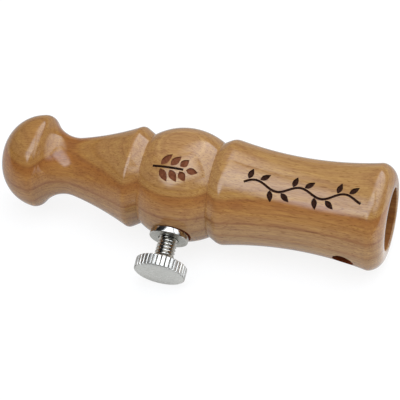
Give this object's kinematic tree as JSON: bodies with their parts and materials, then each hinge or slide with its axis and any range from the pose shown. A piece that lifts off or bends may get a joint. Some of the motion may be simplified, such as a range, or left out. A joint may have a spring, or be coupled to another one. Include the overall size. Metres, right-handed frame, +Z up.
{
  "type": "roe deer call",
  "caption": "Turned wooden deer call with a knob mouthpiece, a ball and a bell-ended barrel, tuned by a knurled metal thumb screw that presses a brass reed inside.",
  "frame": {"origin": "on the surface that the call lies on, under the middle of its box", "axes": "+X along the body's axis from the mouth to the bell, +Z up, the tuning screw towards -Y and slightly down"},
  "size_m": [0.0816, 0.0324, 0.0233],
  "materials": {
    "turned_wood": "glossy clear lacquer",
    "nickel": "bright nickel plate",
    "nylon": "matte",
    "block_wood": "bare turned hardwood",
    "brass": "rolled sheet, satin",
    "rubber": "matte"
  },
  "bodies": {
    "mouthpiece": {"mouthpiece": "turned_wood", "screw_bush": "nickel", "reed_block": "block_wood", "reed_trough": "brass", "reed": "brass", "reed_wedge": "block_wood", "tenon_ring_front": "rubber", "tenon_ring_rear": "rubber", "block_ring": "rubber"},
    "barrel": {"barrel": "turned_wood"},
    "screw_foot": {"reed_pad": "nylon"},
    "tuning_screw": {"thumb_screw": "nickel"}
  },
  "joints": [
    {"name": "barrel_pull", "type": "slide", "parent": "mouthpiece", "child": "barrel", "axis": [1, 0, 0], "range_m": [0, 0.03]},
    {"name": "screw_travel", "type": "slide", "parent": "mouthpiece", "child": "screw_foot", "axis": [0, 0.9444, 0.3287], "range_m": [-0.00385, 0.00315]},
    {"name": "screw_turn", "type": "hinge", "parent": "screw_foot", "child": "tuning_screw", "pos_m": [-0.00255, 0.00463, 0.01165], "axis": [0, 0.9444, 0.3287], "range_deg": [-1981, 1621]}
  ],
  "couplings": [
    {"joint": "screw_turn", "follows": "screw_travel", "rad_per_m": 8976}
  ]
}
